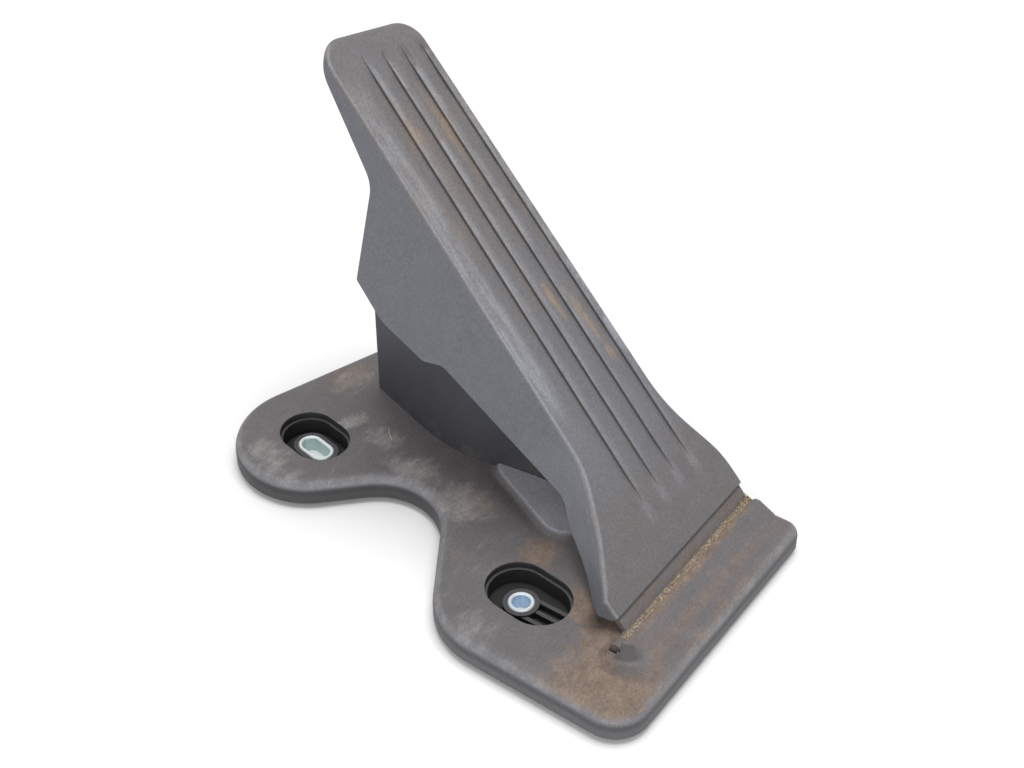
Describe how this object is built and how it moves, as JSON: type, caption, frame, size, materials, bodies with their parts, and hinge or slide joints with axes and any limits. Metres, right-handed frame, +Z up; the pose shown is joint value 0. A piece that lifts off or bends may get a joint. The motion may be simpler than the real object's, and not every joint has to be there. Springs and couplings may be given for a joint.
{
  "type": "accelerator pedal",
  "caption": "Floor-hinged accelerator pedal: a long grooved pad hinged to a moulded base plate, with a return-sprung lever, a contactless position sensor and sleeved fixing lobes.",
  "frame": {"origin": "axis of the front fixing sleeve, on the mounting plane", "axes": "+X along the pad's hinge to the driver's right, +Y forward away from the driver, +Z up"},
  "size_m": [0.1242, 0.2164, 0.1865],
  "materials": {
    "base_plastic": "moulded, dusty",
    "sleeve_steel": "bright zinc plate",
    "pad_plastic": "moulded, worn at the edges",
    "slider_plastic": "low-friction moulding",
    "housing_plastic": "moulded",
    "screw_steel": "zinc plate",
    "lever_plastic": "glass-filled moulding",
    "shaft_steel": "ground",
    "bush_plastic": "bearing plastic",
    "spring_steel": "drawn wire",
    "magnet": "sintered ferrite",
    "board": "solder mask on laminate",
    "chip_plastic": "moulded",
    "terminal_brass": "tinned",
    "seal_rubber": "moulded"
  },
  "bodies": {
    "base": {"base_plate": "base_plastic", "front_sleeve": "sleeve_steel", "rear_sleeve": "sleeve_steel", "lever_housing": "housing_plastic", "housing_cover": "housing_plastic", "housing_screws": "screw_steel", "base_screws": "screw_steel", "sensor_screws": "screw_steel", "left_bush": "bush_plastic", "right_bush": "bush_plastic", "left_friction_washer": "bush_plastic", "right_friction_washer": "bush_plastic", "outer_spring": "spring_steel", "inner_spring": "spring_steel", "sensor_board": "board", "hall_sensors": "chip_plastic", "terminals": "terminal_brass", "sensor_cover": "housing_plastic", "cover_seal": "seal_rubber"},
    "pad": {"pedal_pad": "pad_plastic", "slider_plate": "slider_plastic"},
    "lever": {"drive_lever": "lever_plastic", "nose_cap": "slider_plastic", "pivot_shaft": "shaft_steel", "spring_cap": "slider_plastic", "magnet_carrier": "lever_plastic", "ring_magnet": "magnet"}
  },
  "joints": [
    {"name": "pad_hinge", "type": "hinge", "parent": "base", "child": "pad", "pos_m": [0.0444, -0.04411, 0.01352], "axis": [-1, 0, 0], "range_deg": [0, 15], "stiffness_Nm_per_rad": 5.7, "springref_deg": -25.21},
    {"name": "lever_pivot", "type": "hinge", "parent": "base", "child": "lever", "pos_m": [0.0606, 0.058, 0.04], "axis": [-1, 0, 0], "range_deg": [0, 32.1], "deforming": ["outer_spring", "inner_spring"]}
  ],
  "couplings": [
    {"joint": "lever_pivot", "follows": "pad_hinge", "ratio": 2.14}
  ]
}
